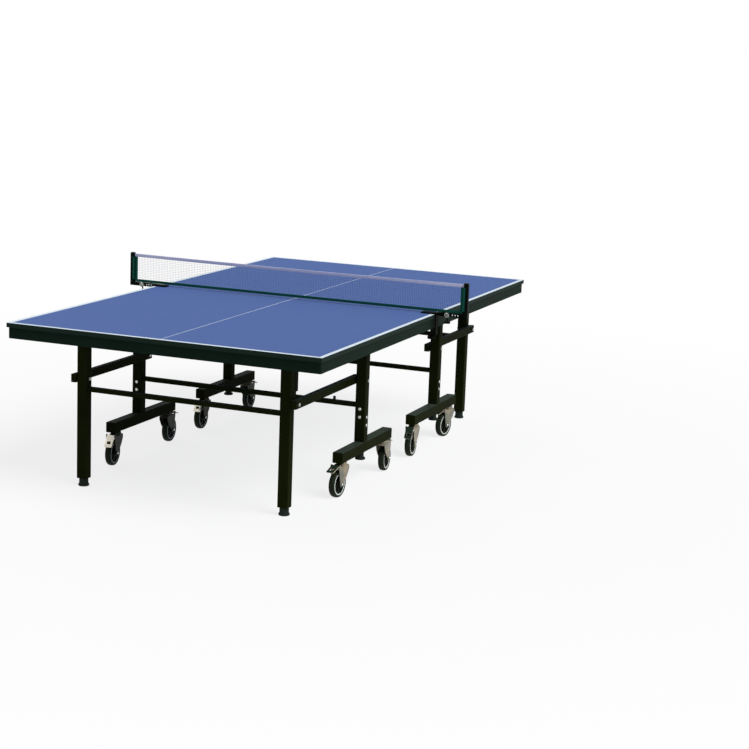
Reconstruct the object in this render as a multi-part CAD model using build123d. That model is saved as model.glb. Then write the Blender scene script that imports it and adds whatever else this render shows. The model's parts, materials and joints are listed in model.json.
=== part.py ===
from build123d import *
import os
from math import cos, radians, sin

# Ping pong table in two folding halves, in millimetres.
# X runs along the table, Y across it and Z up. The origin is on the floor under the net's middle.
# One half is drawn on the +X side and turned half a turn about Z for the other.

# ---- whole table
table_length = 2740
table_width = 1525
table_height = 760
halves_gap = 6
board_thick = 20
board_corner_r = 6

# ---- apron rails under the board
apron_inset = 7
apron_depth = 50
apron_wall = 2
apron_flange = 30
apron_corner_r = 9
net_rail_end_gap = 9.5
flange_gap = 0.2
angle_length = 50
angle_leg = 22
angle_wall = 2
angle_end_gap = 160
angle_screw_pitch = 16

# ---- fold linkage
pivot_drop = 60
link_drop = 202
post_x = 487
leg_x = 1135
leg_y = 503
leg_wide = 50
leg_deep = 45
post_wide = 50
post_deep = 45
tube_wall = 2
tube_corner_r = 4
link_wide = 26
link_high = 38
link_overhang = 25
leg_link_gap = 3
link_cheek_gap = 1
cheek_gap = 0.5
crossbar_size = 22
crossbar_corner_r = 2.5
weld_depth = 1
leg_bar_z = 451
post_bar_z = 380

# ---- pivot brackets
cheek_thick = 3
cheek_low_r = 22
bracket_length = 112
bracket_flange = 28
bracket_flange_thick = 2.5
bracket_screw_pitch = 30
bracket_arc = 7

# ---- bolts and screws
pivot_bolt_r = 5
fit_gap = 0.08
open_pivot_gap = 0.3
bolt_head_r = 8.5
bolt_head_thick = 6
clamp_bolt_r = 3
clamp_bolt_head_r = 7.5
clamp_bolt_head_thick = 3
clamp_bolt_length = 8
face_bolt_top_z = 365
side_bolt_top_z = 325
clamp_bolt_pitch = 38
screw_head_r = 4
screw_head_thick = 2
screw_shank_r = 2.1

# ---- wheeled beams
caster_height = 160
beam_high = 50
beam_wide = 50
beam_inner_x = 157
beam_outer_x = 755
beam_end_wall = 3
spigot_gap = 1
spigot_top_z = 388
swivel_inset = 50
support_foot_drop = 37
support_neck_r = 17
support_disc_r = 24
support_disc_thick = 10

# ---- levelling feet under the legs
leg_foot_height = 37
leg_neck_r = 21
leg_disc_r = 25
leg_disc_thick = 11
foot_plug_height = 22
foot_plug_gap = 0.3

# ---- casters
crown_clear = 12
crown_drop = 23
wheel_d = caster_height - crown_drop - crown_clear
tyre_wide = 30
tyre_round = 11
hub_wide = 36
hub_r = 19
rim_r = wheel_d / 2 - 17.5
rim_wide = 20
ring_r = wheel_d / 2 - 11.5
ring_wide = 27
trail = 38
axle_r = 4
stem_r = 5.5
stem_gap = 0.3
stem_length = 16
fork_gap = 20
fork_cheek = 3
fork_boss_r = 12
fork_shoulder_x = 33
fork_shoulder_z = caster_height - 32
fork_sweep = 5
fork_crown_z = caster_height - crown_drop
fork_crown_thick = 5
fork_crown_front = 36
fork_crown_back = 46
bearing_r = 25
bearing_gap = 0.3
pedal_pin_r = 3
pedal_pin_x = -58
pedal_pin_z = caster_height - 13
pedal_ear_r = 8
pedal_pin_gap = 0.6
pedal_wide = 38
pedal_thick = 2.5
pedal_length = 62
pedal_corner_r = 7
pedal_up_tilt = 20
pedal_travel = 34
pedal_slot_long = 18
pedal_slot_wide = 14
pedal_barrel_r = 5.5

# ---- fold latch
latch_arm = 70
latch_arm_high = 18
latch_eye_r = 13
latch_eye_hole_r = 10.5
latch_plate = 3
latch_barrel_r = 6
latch_barrel_high = 20
latch_pin_r = 3
latch_radius = 270
latch_y = 512
latch_stub_r = 6.5
latch_stub_high = 16
latch_swing = 26
latch_catch = 19
latch_ear = 2.5
latch_ear_gap = 0.5
latch_base_long = 46
latch_base_wide = 34

# ---- net
net_height = 152.5
net_post_out = 140.5
net_post_wide = 24
net_post_deep = 20
net_post_rise = 6
net_post_drop = 10
net_thick = 1.2
net_band_thick = 3.2
net_tape_high = 16
net_band_high = 14
net_lift = 8
clamp_arm_high = 18
clamp_arm_drop = 10
clamp_arm_gap = 2
clamp_net_gap = 0.6
clamp_pad_long = 70
clamp_pad_thick = 8
clamp_front_x = -42
clamp_back_x = -5
clamp_plate_thick = 6
clamp_jaw_drop = 30
clamp_jaw_thick = 8
clamp_jaw_long = 42
clamp_screw_r = 5
clamp_screw_inset = 20.5
clamp_tip_r = 9
clamp_tip_thick = 4
clamp_knob_r = 17
clamp_knob_thick = 14
clamp_screw_length = 52
nut_r = 13
nut_thick = 8
left_nut_out = 80
right_nut_out = 53
arm_screw_r = 4
arm_screw_thick = 3
arm_screw_gap = 25
arm_screw_pitch = 14
under_knob_r = 14
under_knob_thick = 11
under_stem_length = 22
under_stem_r = 3.5

# ---- worked out from the sizes above
half_length = (table_length - halves_gap) / 2
half_start = halves_gap / 2
half_end = table_length / 2
edge_y = table_width / 2
under_z = table_height - board_thick
apron_low_z = under_z - apron_depth
apron_y = edge_y - apron_inset
pivot_z = table_height - pivot_drop
link_z = pivot_z - link_drop
link_y = leg_y + leg_wide / 2 + leg_link_gap + link_wide / 2
post_y = link_y + link_wide / 2 + link_cheek_gap + cheek_thick + cheek_gap + post_wide / 2
beam_low_z = caster_height
beam_top_z = caster_height + beam_high
axle_z = wheel_d / 2
net_post_y = edge_y + net_post_out
net_post_base_z = table_height - net_post_drop
clamp_arm_z = table_height - clamp_arm_drop
net_end_y = net_post_y - net_post_wide / 2

# ---- parked direction of each caster's wheel, in degrees from +X
parked = {
    "near_left_outer": 187,
    "near_left_inner": 5,
    "near_right_outer": 176,
    "near_right_inner": 5,
    "far_left_inner": 183,
    "far_left_outer": 3,
    "far_right_inner": 184,
    "far_right_outer": 170,
}

# ---- casters that stand with their brake pressed down
braked = ("near_left_outer", "far_left_inner", "far_right_inner")

os.makedirs("parts", exist_ok=True)


def block(x0, x1, y0, y1, z0, z1):
    """Box between two corners."""
    box = Box(x1 - x0, y1 - y0, z1 - z0, align=(Align.MIN, Align.MIN, Align.MIN))
    return Pos(x0, y0, z0) * box


def rod_x(x0, x1, y, z, r):
    """Cylinder along X."""
    return Pos(x0, y, z) * Rot(0, 90, 0) * Cylinder(r, x1 - x0, align=(Align.CENTER, Align.CENTER, Align.MIN))


def rod_y(x, y0, y1, z, r):
    """Cylinder along Y."""
    upright = Cylinder(r, y1 - y0, align=(Align.CENTER, Align.CENTER, Align.MIN))
    return Pos(x, y0, z) * Rot(-90, 0, 0) * upright


def rod_z(x, y, z0, z1, r):
    """Cylinder along Z."""
    return Pos(x, y, z0) * Cylinder(r, z1 - z0, align=(Align.CENTER, Align.CENTER, Align.MIN))


def hex_y(x, y0, y1, z, r):
    """Hexagon bar along Y."""
    return Pos(x, y0, z) * Rot(-90, 0, 0) * extrude(RegularPolygon(r, 6), y1 - y0)


def both_sides(shape):
    """A piece and its twin across the table."""
    return [shape, mirror(shape, about=Plane.XZ)]


def save(name, *solids):
    """Write one node's solids to its STEP file."""
    flat = []
    for shape in solids:
        flat += list(shape.solids())
    whole = flat[0] if len(flat) == 1 else Compound(children=flat)
    export_step(whole, f"parts/{name}.step")


def save_half(name, *solids):
    """Write the far half's piece and the near half's, which is half a turn away."""
    save(f"far_{name}", *solids)
    save(f"near_{name}", *[Rot(0, 0, 180) * shape for shape in solids])


# ---------------------------------------------------------------- playing board and apron

def top_board():
    board = block(half_start, half_end, -edge_y, edge_y, under_z, table_height)
    outer = board.edges().filter_by(Axis.Z).group_by(Axis.X)[-1]
    return fillet(outer, board_corner_r)


def end_rail():
    """Rail across the end that turns both rounded corners, open to the side rails."""
    face_x = half_end - apron_inset
    back_x = face_x - apron_flange
    side = apron_y - apron_wall
    rail = block(back_x, face_x, -apron_y, apron_y, apron_low_z, under_z)
    rail = fillet(rail.edges().filter_by(Axis.Z).group_by(Axis.X)[-1], apron_corner_r)
    hollow = block(back_x, face_x - apron_wall, -side, side, apron_low_z + apron_wall, under_z)
    hollow = fillet(hollow.edges().filter_by(Axis.Z).group_by(Axis.X)[-1], apron_corner_r - apron_wall)
    return rail - hollow


def side_rail():
    """Angle along the +Y side, up to the end rail's turned corner."""
    x0 = half_start
    x1 = half_end - apron_inset - apron_flange - flange_gap
    web = block(x0, x1, apron_y - apron_wall, apron_y, apron_low_z, under_z)
    flange = block(x0, x1, apron_y - apron_flange, apron_y, apron_low_z, apron_low_z + apron_wall)
    return web + flange


def net_rail():
    face_x = half_start + apron_inset
    reach = post_y - post_wide / 2 - net_rail_end_gap
    web = block(face_x, face_x + apron_wall, -reach, reach, apron_low_z, under_z)
    flange = block(face_x, face_x + apron_flange, -reach, reach, apron_low_z, apron_low_z + apron_wall)
    return web + flange


# ---------------------------------------------------------------- brackets under the board

def angle_place():
    """Corner point and turn of each small angle bracket along the four rails."""
    span = half_end - apron_inset - 2 * angle_end_gap
    side = apron_y - apron_wall
    places = []
    for step in (0, 0.5, 1):
        x = angle_end_gap + span * step
        places.append((x, side, 180))
        places.append((x, -side, 0))
    across = apron_y - angle_end_gap
    near = post_y - post_wide / 2 - angle_end_gap
    for y in (-1, 0, 1):
        places.append((half_end - apron_inset - apron_wall, y * across, 90))
        places.append((half_start + apron_inset + apron_wall, y * near, -90))
    return places


def angle_bracket():
    """Angle standing against a rail at y = 0, with its other leg under the board."""
    half = angle_length / 2
    upright = block(-half, half, 0, angle_wall, -angle_leg, 0)
    flat = block(-half, half, 0, angle_leg, -angle_wall, 0)
    bracket = upright + flat
    for x in (-angle_screw_pitch, 0, angle_screw_pitch):
        bracket -= rod_z(x, angle_screw_y(x), -angle_wall, 0, screw_shank_r)
    return bracket


def angle_screw_y(x):
    """The middle screw of three stands a little further in."""
    return angle_leg * (0.55 if x else 0.72)


def screw(z_head_top):
    """Pan head screw pointing up, with its head's upper face at the height given."""
    head = rod_z(0, 0, z_head_top - screw_head_thick, z_head_top, screw_head_r)
    head = fillet(head.edges().group_by(Axis.Z)[0], screw_head_thick / 3)
    return head


def angle_screws():
    """The three screws of one angle bracket."""
    found = []
    for x in (-angle_screw_pitch, 0, angle_screw_pitch):
        shank = rod_z(0, 0, -angle_wall, 0, screw_shank_r)
        found.append(Pos(x, angle_screw_y(x), 0) * (screw(-angle_wall) + shank))
    return found


def flange_screw_places():
    """Four screws along the curved edge of a pivot bracket's flange."""
    places = []
    for step in (-1.5, -0.5, 0.5, 1.5):
        out = bracket_flange * 0.42 + (bracket_arc if abs(step) < 1 else 0)
        places.append((step * bracket_screw_pitch * 0.95, out))
    return places


def bracket_flange_plate(face_y):
    """Half moon flange lying under the board, outwards of face_y."""
    half = bracket_length / 2
    start = (-half, 0)
    end = (half, 0)
    shoulder = bracket_flange * 0.55
    edge = [Line(start, (-half, shoulder)),
            ThreePointArc((-half, shoulder), (0, bracket_flange), (half, shoulder)),
            Line((half, shoulder), end),
            Line(end, start)]
    plate = extrude(make_face(edge), bracket_flange_thick)
    for x, out in flange_screw_places():
        plate -= rod_z(x, out, 0, bracket_flange_thick, screw_shank_r)
    return Pos(0, face_y, -bracket_flange_thick) * plate


def bracket_cheek(face_y):
    """Cheek from the board down round the pivot, with its inner face at face_y."""
    half = bracket_length / 2
    low = -(under_z - pivot_z)
    tangent = radians(32)
    side = (cheek_low_r * cos(tangent), low - cheek_low_r * sin(tangent))
    outline = [Line((-half, 0), (half, 0)),
               Line((half, 0), side),
               ThreePointArc(side, (0, low - cheek_low_r), (-side[0], side[1])),
               Line((-side[0], side[1]), (-half, 0))]
    cheek = extrude(Plane.XZ * make_face(outline), -cheek_thick)
    hole = rod_y(0, 0, cheek_thick, low, pivot_bolt_r + fit_gap)
    return Pos(0, face_y, 0) * (cheek - hole)


def pivot_bracket(tube_wide):
    """Saddle of two cheeks and two flanges; z = 0 is the board's underside."""
    face = tube_wide / 2 + cheek_gap
    arm = bracket_cheek(face) + bracket_flange_plate(face)
    return [arm, mirror(arm, about=Plane.XZ)]


def pivot_places():
    """Pivots of one half: place across, place along and tube width."""
    return [(post_x, post_y, post_wide), (leg_x, leg_y, leg_wide)]


def pivot_brackets():
    found = []
    for x, y, wide in pivot_places():
        for side in (-1, 1):
            for arm in pivot_bracket(wide):
                found.append(Pos(x, side * y, under_z) * arm)
    return found


def pivot_bracket_screws():
    found = []
    shank = rod_z(0, 0, -bracket_flange_thick, 0, screw_shank_r)
    one = screw(-bracket_flange_thick) + shank
    for x, y, wide in pivot_places():
        face = wide / 2 + cheek_gap
        for side in (-1, 1):
            for x_off, out in flange_screw_places():
                for way in (-1, 1):
                    found.append(Pos(x + x_off, side * y + way * (face + out), under_z) * one)
    return found


def angle_group(piece):
    """A piece, or several, set at every angle bracket of one half."""
    found = []
    for x, y, turn in angle_place():
        for solid in piece:
            found.append(Pos(x, y, under_z) * Rot(0, 0, turn) * solid)
    return found


# ---------------------------------------------------------------- fold latch

latch_x = post_x - latch_radius


def latch_bracket():
    """Hanger under the board that holds the latch pin between two ears."""
    wall_y = latch_y + latch_barrel_r + latch_ear_gap + latch_ear
    high = latch_barrel_high / 2 + latch_ear_gap
    x0 = latch_x - latch_base_wide / 2
    x1 = latch_x + latch_base_wide / 2
    base = block(x0, x1, wall_y - latch_base_long, wall_y, under_z - latch_ear, under_z)
    wall = block(latch_x - latch_barrel_r, latch_x + latch_barrel_r, wall_y - latch_ear, wall_y,
                 pivot_z - high - latch_ear, under_z)
    hanger = base + wall
    for z in (pivot_z - high - latch_ear, pivot_z + high):
        hanger += block(latch_x - latch_barrel_r, latch_x + latch_barrel_r, latch_y, wall_y, z, z + latch_ear)
        hanger += rod_z(latch_x, latch_y, z, z + latch_ear, latch_barrel_r)
    hanger += rod_z(latch_x, latch_y, pivot_z - high, pivot_z + high, latch_pin_r)
    for x in latch_screw_xs():
        hanger -= rod_z(x, latch_screw_y(), under_z - latch_ear, under_z, screw_shank_r)
    return hanger


def latch_screw_xs():
    return (latch_x - latch_base_wide * 0.3, latch_x + latch_base_wide * 0.3)


def latch_screw_y():
    return latch_y - latch_barrel_r - screw_head_r * 3


def latch_screws():
    found = []
    for x in latch_screw_xs():
        shank = rod_z(0, 0, -latch_ear, 0, screw_shank_r)
        found.append(Pos(x, latch_screw_y(), under_z) * (screw(-latch_ear) + shank))
    return found


def fold_latch():
    """Lever that drops its eye over the crossbar's stub once the half stands up."""
    barrel = rod_z(0, 0, -latch_barrel_high / 2, latch_barrel_high / 2, latch_barrel_r)
    arm = block(-latch_plate / 2, latch_plate / 2, -latch_arm, 0, -latch_arm_high / 2, latch_arm_high / 2)
    eye_back = rod_x(-latch_plate / 2, latch_plate / 2, -latch_arm, 0, latch_eye_r)
    lever = barrel + arm + eye_back
    lever -= rod_z(0, 0, -latch_barrel_high, latch_barrel_high, latch_pin_r + fit_gap)
    lever -= rod_x(-latch_plate, latch_plate, -latch_arm, 0, latch_eye_hole_r)
    return Pos(latch_x, latch_y, pivot_z) * lever


# ---------------------------------------------------------------- wheeled uprights

def upright(x, y, deep, wide, z_low):
    """Square tube whose closed top is rounded about the pivot."""
    top = pivot_z + deep / 2
    tube = Pos(x, y, z_low) * extrude(RectangleRounded(deep, wide, tube_corner_r), top - z_low)
    side = block(x - deep / 2, x + deep / 2, y - wide / 2, y + wide / 2, z_low, pivot_z)
    side += rod_y(x, y - wide / 2, y + wide / 2, pivot_z, deep / 2)
    inner_top = pivot_z - deep / 2
    inner = extrude(RectangleRounded(deep - 2 * tube_wall, wide - 2 * tube_wall, tube_corner_r - tube_wall),
                    inner_top - z_low)
    hole = rod_y(x, y - wide, y + wide, pivot_z, pivot_bolt_r)
    link_hole = rod_y(x, y - wide, y + wide, link_z, pivot_bolt_r)
    return (tube & side) - Pos(x, y, z_low) * inner - hole - link_hole


def crossbar(x, z, reach):
    """Square tube along Y between two uprights, let into their walls by the weld depth."""
    section = RectangleRounded(crossbar_size, crossbar_size, crossbar_corner_r)
    inner = RectangleRounded(crossbar_size - 2 * tube_wall, crossbar_size - 2 * tube_wall,
                             crossbar_corner_r - tube_wall)
    bar = extrude(section - inner, 2 * (reach + weld_depth))
    return Pos(x, -reach - weld_depth, z) * Rot(-90, 0, 0) * bar


def clamp_bolt_places():
    """Bolts that hold an upright on its spigot: axis letter and height."""
    places = []
    for step in (0, 1):
        places.append(("x", face_bolt_top_z - step * clamp_bolt_pitch))
        places.append(("y", side_bolt_top_z - step * clamp_bolt_pitch))
    return places


def clamp_bolt(axis, z, grow=0.0):
    """Short bolt in the outward X or Y face of the +Y upright."""
    r = clamp_bolt_r + grow
    if axis == "x":
        face = post_x - post_deep / 2
        shank = rod_x(face, face + clamp_bolt_length, post_y, z, r)
        head = rod_x(face - clamp_bolt_head_thick, face, post_y, z, clamp_bolt_head_r)
        head = fillet(head.edges().group_by(Axis.X)[0], clamp_bolt_head_thick / 2)
    else:
        face = post_y + post_wide / 2
        shank = rod_y(post_x, face - clamp_bolt_length, face, z, r)
        head = rod_y(post_x, face, face + clamp_bolt_head_thick, z, clamp_bolt_head_r)
        head = fillet(head.edges().group_by(Axis.Y)[-1], clamp_bolt_head_thick / 2)
    return shank, head


def outer_face_bolt(axis, z):
    """The same bolt with its head, turned to the outward face of the upright along X."""
    shank, head = clamp_bolt(axis, z)
    bolt = shank + head
    return mirror_in_post(bolt) if axis == "x" else bolt


def mirror_in_post(shape):
    """Swap a shape to the other X face of the uprights."""
    return mirror(shape, about=Plane.YZ.offset(post_x))


def bolt_holes():
    """Cutters for the clamp bolts of the +Y upright."""
    holes = []
    for axis, z in clamp_bolt_places():
        shank = clamp_bolt(axis, z)[0]
        holes.append(mirror_in_post(shank) if axis == "x" else shank)
    return holes


def post_frame():
    """Two uprights and the tube welded between them, with the latch's stub."""
    post = upright(post_x, post_y, post_deep, post_wide, beam_top_z)
    for hole in bolt_holes():
        post -= hole
    frame = crossbar(post_x, post_bar_z, post_y - post_wide / 2)
    for one in both_sides(post):
        frame += one
    stub_y = latch_y - latch_arm * (cos(radians(latch_catch)) + cos(radians(latch_swing))) / 2
    bar_top = post_bar_z + crossbar_size / 2
    frame += rod_z(post_x, stub_y, bar_top - tube_wall, bar_top + latch_stub_high, latch_stub_r)
    return frame


def swivel_xs():
    return (beam_inner_x + swivel_inset, beam_outer_x - swivel_inset)


def wheel_beam():
    """Square tube on the casters, with the spigot that its upright slips over."""
    length = beam_outer_x - beam_inner_x
    outer = extrude(RectangleRounded(beam_high, beam_wide, tube_corner_r), length)
    inner = extrude(RectangleRounded(beam_high - 2 * tube_wall, beam_wide - 2 * tube_wall,
                                     tube_corner_r - tube_wall), length - 2 * beam_end_wall)
    tube = outer - Pos(0, 0, beam_end_wall) * inner
    beam = Pos(beam_inner_x, post_y, beam_low_z + beam_high / 2) * Rot(0, 90, 0) * tube
    for x in swivel_xs():
        beam -= rod_z(x, post_y, beam_low_z - 1, beam_low_z + tube_wall + 1, stem_r + stem_gap)
    shrink = 2 * (tube_wall + spigot_gap)
    deep = post_deep - shrink
    wide = post_wide - shrink
    bore = RectangleRounded(deep - 2 * tube_wall, wide - 2 * tube_wall, tube_wall / 2)
    spigot = extrude(RectangleRounded(deep, wide, tube_corner_r / 2) - bore, spigot_top_z - beam_top_z)
    spigot = Pos(post_x, post_y, beam_top_z) * spigot
    for hole in bolt_holes():
        spigot -= hole
    return beam + spigot


def post_bolts():
    """Pivot bolt, link bolt and clamp bolts of the +Y upright."""
    outer = post_y + post_wide / 2
    cheek_out = outer + cheek_gap + cheek_thick
    cheek_in = post_y - post_wide / 2 - cheek_gap - cheek_thick
    pivot = rod_y(post_x, cheek_in, cheek_out, pivot_z, pivot_bolt_r)
    pivot += hex_y(post_x, cheek_out, cheek_out + bolt_head_thick, pivot_z, bolt_head_r)
    link_in = link_y - link_wide / 2
    link = rod_y(post_x, link_in - bolt_head_thick, outer, link_z, pivot_bolt_r)
    link += hex_y(post_x, outer, outer + bolt_head_thick, link_z, bolt_head_r)
    link += hex_y(post_x, link_in - bolt_head_thick, link_in - fit_gap, link_z, bolt_head_r)
    link += rod_y(post_x, link_y + link_wide / 2 + fit_gap, outer - post_wide, link_z, bolt_head_r)
    found = [pivot, link]
    for axis, z in clamp_bolt_places():
        found.append(outer_face_bolt(axis, z))
    return found


def round_foot(x, y, z_top, z_low, neck_r, disc_r, disc_thick):
    """Rubber foot: a neck on a wider disc."""
    neck = rod_z(x, y, z_low + disc_thick, z_top, neck_r)
    disc = rod_z(x, y, z_low, z_low + disc_thick, disc_r)
    disc = fillet(disc.edges(), disc_thick * 0.3)
    return neck + disc


def support_foot():
    return round_foot(post_x, post_y, beam_low_z, beam_low_z - support_foot_drop,
                      support_neck_r, support_disc_r, support_disc_thick)


# ---------------------------------------------------------------- legs and links

def leg_frame():
    """Two legs and the tube welded between them."""
    leg = upright(leg_x, leg_y, leg_deep, leg_wide, leg_foot_height)
    frame = crossbar(leg_x, leg_bar_z, leg_y - leg_wide / 2)
    for one in both_sides(leg):
        frame += one
    return frame


def leg_foot():
    foot = round_foot(leg_x, leg_y, leg_foot_height, 0, leg_neck_r, leg_disc_r, leg_disc_thick)
    shrink = 2 * (tube_wall + foot_plug_gap)
    plug = RectangleRounded(leg_deep - shrink, leg_wide - shrink, tube_wall)
    return foot + Pos(leg_x, leg_y, leg_foot_height) * extrude(plug, foot_plug_height)


def leg_bolts():
    """Pivot bolt and link bolt of the +Y leg."""
    reach = leg_wide / 2 + cheek_gap + cheek_thick
    pivot = rod_y(leg_x, leg_y - reach, leg_y + reach, pivot_z, pivot_bolt_r)
    pivot += hex_y(leg_x, leg_y + reach, leg_y + reach + bolt_head_thick, pivot_z, bolt_head_r)
    pivot += hex_y(leg_x, leg_y - reach - bolt_head_thick, leg_y - reach, pivot_z, bolt_head_r)
    outer = link_y + link_wide / 2
    inner = leg_y - leg_wide / 2
    leg_face = leg_y + leg_wide / 2
    link = rod_y(leg_x, inner, outer + fit_gap, link_z, pivot_bolt_r)
    link += hex_y(leg_x, outer + fit_gap, outer + bolt_head_thick, link_z, bolt_head_r)
    link += hex_y(leg_x, inner - bolt_head_thick, inner, link_z, bolt_head_r)
    link += rod_y(leg_x, leg_face, leg_face + leg_link_gap - fit_gap, link_z, bolt_head_r)
    return [pivot, link]


def fold_link():
    """Bar that keeps the leg upright; its leg end is the linkage's open pivot."""
    x0 = post_x - link_overhang
    length = leg_x - post_x + 2 * link_overhang
    outer = extrude(RectangleRounded(link_high, link_wide, tube_corner_r / 2), length)
    hollow = Rectangle(link_high - 2 * tube_wall, link_wide - 2 * tube_wall)
    inner = extrude(hollow, length - 2 * beam_end_wall)
    tube = outer - Pos(0, 0, beam_end_wall) * inner
    link = Pos(x0, link_y, link_z) * Rot(0, 90, 0) * tube
    link -= rod_y(post_x, link_y - link_wide, link_y + link_wide, link_z, pivot_bolt_r + fit_gap)
    return link - rod_y(leg_x, link_y - link_wide, link_y + link_wide, link_z, pivot_bolt_r + open_pivot_gap)


# ---------------------------------------------------------------- casters
# Each is drawn with its swivel axis on Z, the floor at z = 0 and its wheel trailing along -X.

def caster_fork():
    """Swivel head, stem, crown and two cheeks."""
    head_low = fork_crown_z + fork_crown_thick
    head_top = caster_height - bearing_gap
    head = rod_z(0, 0, head_low, head_top, bearing_r)
    head = fillet(head.edges().group_by(Axis.Z)[-1], (head_top - head_low) * 0.45)
    stem = rod_z(0, 0, head_top - stem_r, caster_height + stem_length, stem_r)
    half = fork_gap + fork_cheek
    crown = block(-fork_crown_back, fork_crown_front, -half, half, fork_crown_z, head_low)
    corners = crown.edges().filter_by(Axis.Z)
    crown = fillet(corners, fork_cheek * 3)
    front = (fork_crown_front - fork_cheek * 3, head_low)
    boss_front = (-trail + fork_boss_r, axle_z)
    boss_back = (-trail - fork_boss_r, axle_z)
    ear_back = (pedal_pin_x - pedal_ear_r, pedal_pin_z)
    ear_front = (pedal_pin_x + pedal_ear_r, pedal_pin_z)
    shoulder = (fork_shoulder_x, fork_shoulder_z)
    bend = (fork_shoulder_x - 1, (fork_shoulder_z + head_low) / 2 + 1)
    middle = ((shoulder[0] + boss_front[0]) / 2 + fork_sweep, (shoulder[1] + boss_front[1]) / 2 - fork_sweep)
    outline = [ThreePointArc(front, bend, shoulder),
               ThreePointArc(shoulder, middle, boss_front),
               ThreePointArc(boss_front, (-trail, axle_z - fork_boss_r), boss_back),
               Line(boss_back, ear_back),
               ThreePointArc(ear_back, (pedal_pin_x, pedal_pin_z + pedal_ear_r), ear_front),
               Line(ear_front, (-fork_crown_back, head_low)),
               Line((-fork_crown_back, head_low), front)]
    cheek = extrude(Plane.XZ * make_face(outline), -fork_cheek)
    cheek -= rod_y(-trail, -1, fork_cheek + 1, axle_z, axle_r)
    fork = head + stem + crown
    for y in (fork_gap, -fork_gap - fork_cheek):
        fork += Pos(0, y, 0) * cheek
    pin = rod_y(pedal_pin_x, -fork_gap - fork_cheek, fork_gap + fork_cheek, pedal_pin_z, pedal_pin_r)
    return fork + pin


def caster_axle():
    """Bolt through the wheel with a nut outside each cheek."""
    reach = fork_gap + fork_cheek
    axle = rod_y(-trail, -reach, reach, axle_z, axle_r)
    axle += hex_y(-trail, reach, reach + axle_r, axle_z, 2 * axle_r)
    return axle + hex_y(-trail, -reach - axle_r, -reach, axle_z, 2 * axle_r)


def caster_wheel():
    """Tyre, pale ring and hub in one turned solid."""
    r = wheel_d / 2
    half = tyre_wide / 2
    bore = axle_r + fit_gap
    outline = Polyline((bore, -hub_wide / 2), (hub_r, -hub_wide / 2), (hub_r, -rim_wide / 2),
                       (rim_r, -rim_wide / 2),
                       (rim_r, -ring_wide / 2), (ring_r, -ring_wide / 2), (ring_r, -half),
                       (r - tyre_round, -half))
    tread = ThreePointArc((r - tyre_round, -half), (r, 0), (r - tyre_round, half))
    back = mirror(outline, about=Plane.XZ)
    bore_line = Line((bore, hub_wide / 2), (bore, -hub_wide / 2))
    face = make_face(outline.edges() + tread.edges() + back.edges() + bore_line.edges())
    wheel = revolve(face, axis=Axis.Y)
    return Pos(-trail, 0, axle_z) * wheel


def brake_pedal(tilt):
    """Foot plate with its window, on a barrel, tilted down by so many degrees."""
    plate_z = pedal_barrel_r - pedal_thick
    plate = block(-pedal_length, 0, -pedal_wide / 2, pedal_wide / 2, plate_z, plate_z + pedal_thick)
    corners = plate.edges().filter_by(Axis.Z).group_by(Axis.X)[0]
    plate = fillet(corners, pedal_corner_r)
    slot_x = -pedal_length * 0.62
    slot = block(slot_x - pedal_slot_wide / 2, slot_x + pedal_slot_wide / 2,
                 -pedal_slot_long / 2, pedal_slot_long / 2, plate_z - 1, plate_z + pedal_thick + 1)
    reach = fork_gap - pedal_pin_gap
    barrel = rod_y(0, -reach, reach, 0, pedal_barrel_r)
    bore = rod_y(0, -reach - 1, reach + 1, 0, pedal_pin_r + fit_gap)
    lever = (plate - slot) + barrel - bore
    return Pos(pedal_pin_x, 0, pedal_pin_z) * Rot(0, -tilt, 0) * lever


def caster_place(name):
    """Where a caster stands and which way its wheel trails."""
    half, side, end = name.split("_")
    inner_x, outer_x = swivel_xs()
    x = (inner_x if end == "inner" else outer_x) * (1 if half == "far" else -1)
    y = post_y * (1 if side == "left" else -1)
    return Pos(x, y, 0) * Rot(0, 0, parked[name] - 180)


# ---------------------------------------------------------------- net set, clamped to the near half

def net_sheet():
    low = table_height + net_lift
    top = table_height + net_height
    t = net_thick / 2
    b = net_band_thick / 2
    sheet = block(-t, t, -net_end_y, net_end_y, low, top)
    sheet += block(-b, b, -net_end_y, net_end_y, top - net_tape_high, top)
    return sheet + block(-b, b, -net_end_y, net_end_y, low, low + net_band_high)


def net_post():
    """Upright on the +Y side, rounded across its top."""
    top = table_height + net_height + net_post_rise
    half = net_post_deep / 2
    post = block(-half, half, net_end_y, net_end_y + net_post_wide, net_post_base_z, top)
    post = fillet(post.edges().filter_by(Axis.X).group_by(Axis.Z)[-1], half * 0.6)
    return fillet(post.edges().filter_by(Axis.Z).group_by(Axis.Y)[-1], half * 0.5)


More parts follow.
